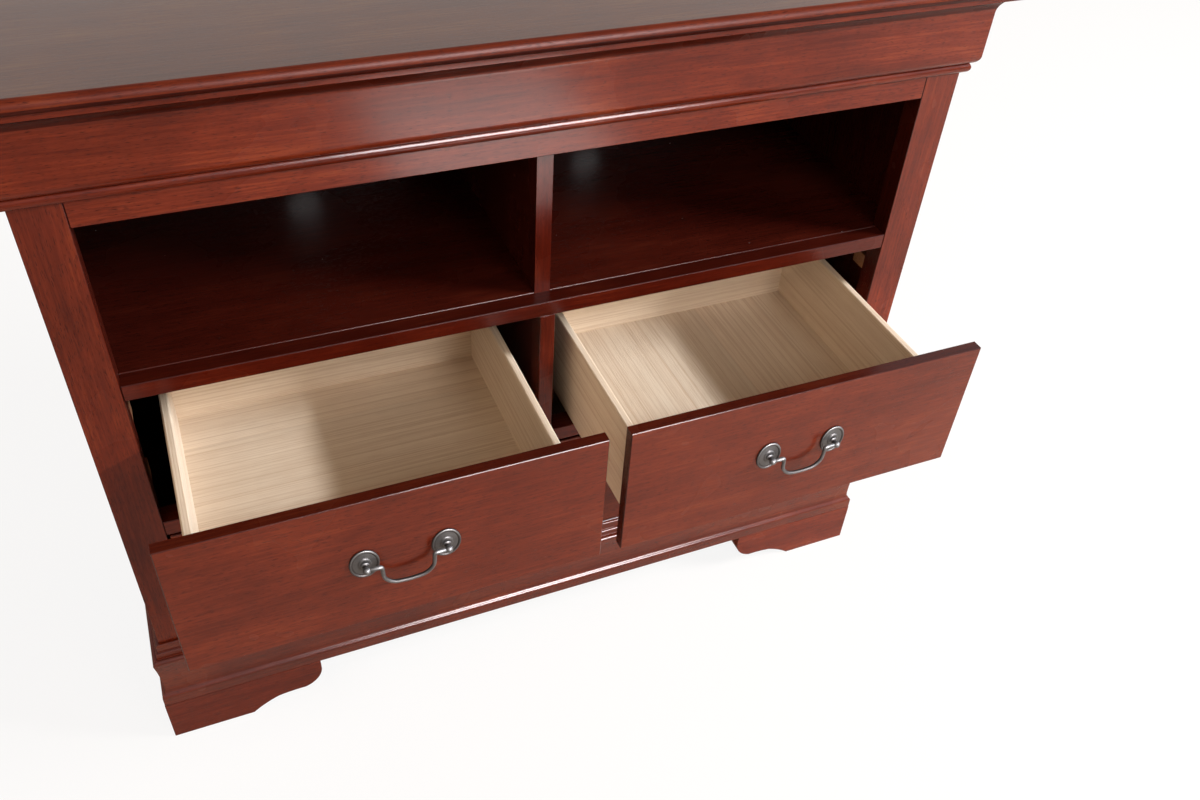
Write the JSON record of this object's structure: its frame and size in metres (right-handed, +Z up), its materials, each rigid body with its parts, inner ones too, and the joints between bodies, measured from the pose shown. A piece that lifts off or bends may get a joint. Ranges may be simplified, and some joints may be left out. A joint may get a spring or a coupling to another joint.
{
  "type": "tv armoire",
  "caption": "Tall media chest with open compartments over inset drawers, a frieze and base moulding, bracket feet and bail pulls.",
  "frame": {"origin": "on the floor, below the middle of the box round the chest with its two upper drawers open", "axes": "+X to the chest's right side as seen from the front, along its width; +Y from the front to the back; +Z up"},
  "size_m": [1.246, 0.7046, 1.041],
  "materials": {
    "cherry_lacquer": "red-brown cherry lacquer, semi-gloss",
    "dark_interior_lacquer": "dark stained, thin lacquer",
    "drawer_wood": "pale clear-lacquered hardwood",
    "glue_block_wood": "raw softwood",
    "frame_wood": "raw hardwood",
    "back_board": "stained hardboard",
    "pewter": "dark pewter, satin with bright rubbed edges",
    "zinc": "zinc plated",
    "nylon": "moulded nylon"
  },
  "bodies": {
    "case": {"top_board": "cherry_lacquer", "sub_top": "dark_interior_lacquer", "frieze_front": "cherry_lacquer", "frieze_returns": "cherry_lacquer", "bead_moulding": "cherry_lacquer", "stile_right": "cherry_lacquer", "stile_left": "cherry_lacquer", "upper_rail": "cherry_lacquer", "shelf_rail": "cherry_lacquer", "middle_rail": "cherry_lacquer", "bottom_rail": "cherry_lacquer", "centre_stile_upper": "cherry_lacquer", "centre_stile_lower": "cherry_lacquer", "side_panel_right": "cherry_lacquer", "side_panel_left": "cherry_lacquer", "shelf_panel": "cherry_lacquer", "compartment_divider": "cherry_lacquer", "centre_partition": "dark_interior_lacquer", "bottom_panel": "back_board", "rear_rail": "frame_wood", "back_panel": "back_board", "base_front": "cherry_lacquer", "base_returns": "cherry_lacquer", "front_foot_right": "cherry_lacquer", "front_foot_left": "cherry_lacquer", "rear_foot_right": "cherry_lacquer", "rear_foot_left": "cherry_lacquer", "guide_rails": "frame_wood", "drawer_glides": "nylon", "glue_blocks": "glue_block_wood", "case_screws": "zinc"},
    "upper_left_drawer": {"upper_left_drawer_front": "cherry_lacquer", "upper_left_drawer_sides": "drawer_wood", "upper_left_drawer_back": "drawer_wood", "upper_left_drawer_bottom": "drawer_wood", "upper_left_guide_shoe": "nylon", "upper_left_pull_mounts": "pewter"},
    "upper_left_bail": {"upper_left_bail": "pewter"},
    "upper_right_drawer": {"upper_right_drawer_front": "cherry_lacquer", "upper_right_drawer_sides": "drawer_wood", "upper_right_drawer_back": "drawer_wood", "upper_right_drawer_bottom": "drawer_wood", "upper_right_guide_shoe": "nylon", "upper_right_pull_mounts": "pewter"},
    "upper_right_bail": {"upper_right_bail": "pewter"},
    "lower_left_drawer": {"lower_left_drawer_front": "cherry_lacquer", "lower_left_drawer_sides": "drawer_wood", "lower_left_drawer_back": "drawer_wood", "lower_left_drawer_bottom": "drawer_wood", "lower_left_guide_shoe": "nylon", "lower_left_pull_mounts": "pewter"},
    "lower_left_bail": {"lower_left_bail": "pewter"},
    "lower_right_drawer": {"lower_right_drawer_front": "cherry_lacquer", "lower_right_drawer_sides": "drawer_wood", "lower_right_drawer_back": "drawer_wood", "lower_right_drawer_bottom": "drawer_wood", "lower_right_guide_shoe": "nylon", "lower_right_pull_mounts": "pewter"},
    "lower_right_bail": {"lower_right_bail": "pewter"}
  },
  "joints": [
    {"name": "upper_left_drawer_slide", "type": "slide", "parent": "case", "child": "upper_left_drawer", "axis": [0, -1, 0], "range_m": [-0.243, 0.077]},
    {"name": "upper_left_bail_hinge", "type": "hinge", "parent": "upper_left_drawer", "child": "upper_left_bail", "pos_m": [-0.2628, -0.3477, 0.541], "axis": [-1, 0, 0], "range_deg": [-15, 195]},
    {"name": "upper_right_drawer_slide", "type": "slide", "parent": "case", "child": "upper_right_drawer", "axis": [0, -1, 0], "range_m": [-0.243, 0.077]},
    {"name": "upper_right_bail_hinge", "type": "hinge", "parent": "upper_right_drawer", "child": "upper_right_bail", "pos_m": [0.2628, -0.3477, 0.541], "axis": [-1, 0, 0], "range_deg": [-15, 195]},
    {"name": "lower_left_drawer_slide", "type": "slide", "parent": "case", "child": "lower_left_drawer", "axis": [0, -1, 0], "range_m": [0, 0.32]},
    {"name": "lower_left_bail_hinge", "type": "hinge", "parent": "lower_left_drawer", "child": "lower_left_bail", "pos_m": [-0.2628, -0.1047, 0.3082], "axis": [-1, 0, 0], "range_deg": [-15, 195]},
    {"name": "lower_right_drawer_slide", "type": "slide", "parent": "case", "child": "lower_right_drawer", "axis": [0, -1, 0], "range_m": [0, 0.32]},
    {"name": "lower_right_bail_hinge", "type": "hinge", "parent": "lower_right_drawer", "child": "lower_right_bail", "pos_m": [0.2628, -0.1047, 0.3082], "axis": [-1, 0, 0], "range_deg": [-15, 195]}
  ]
}
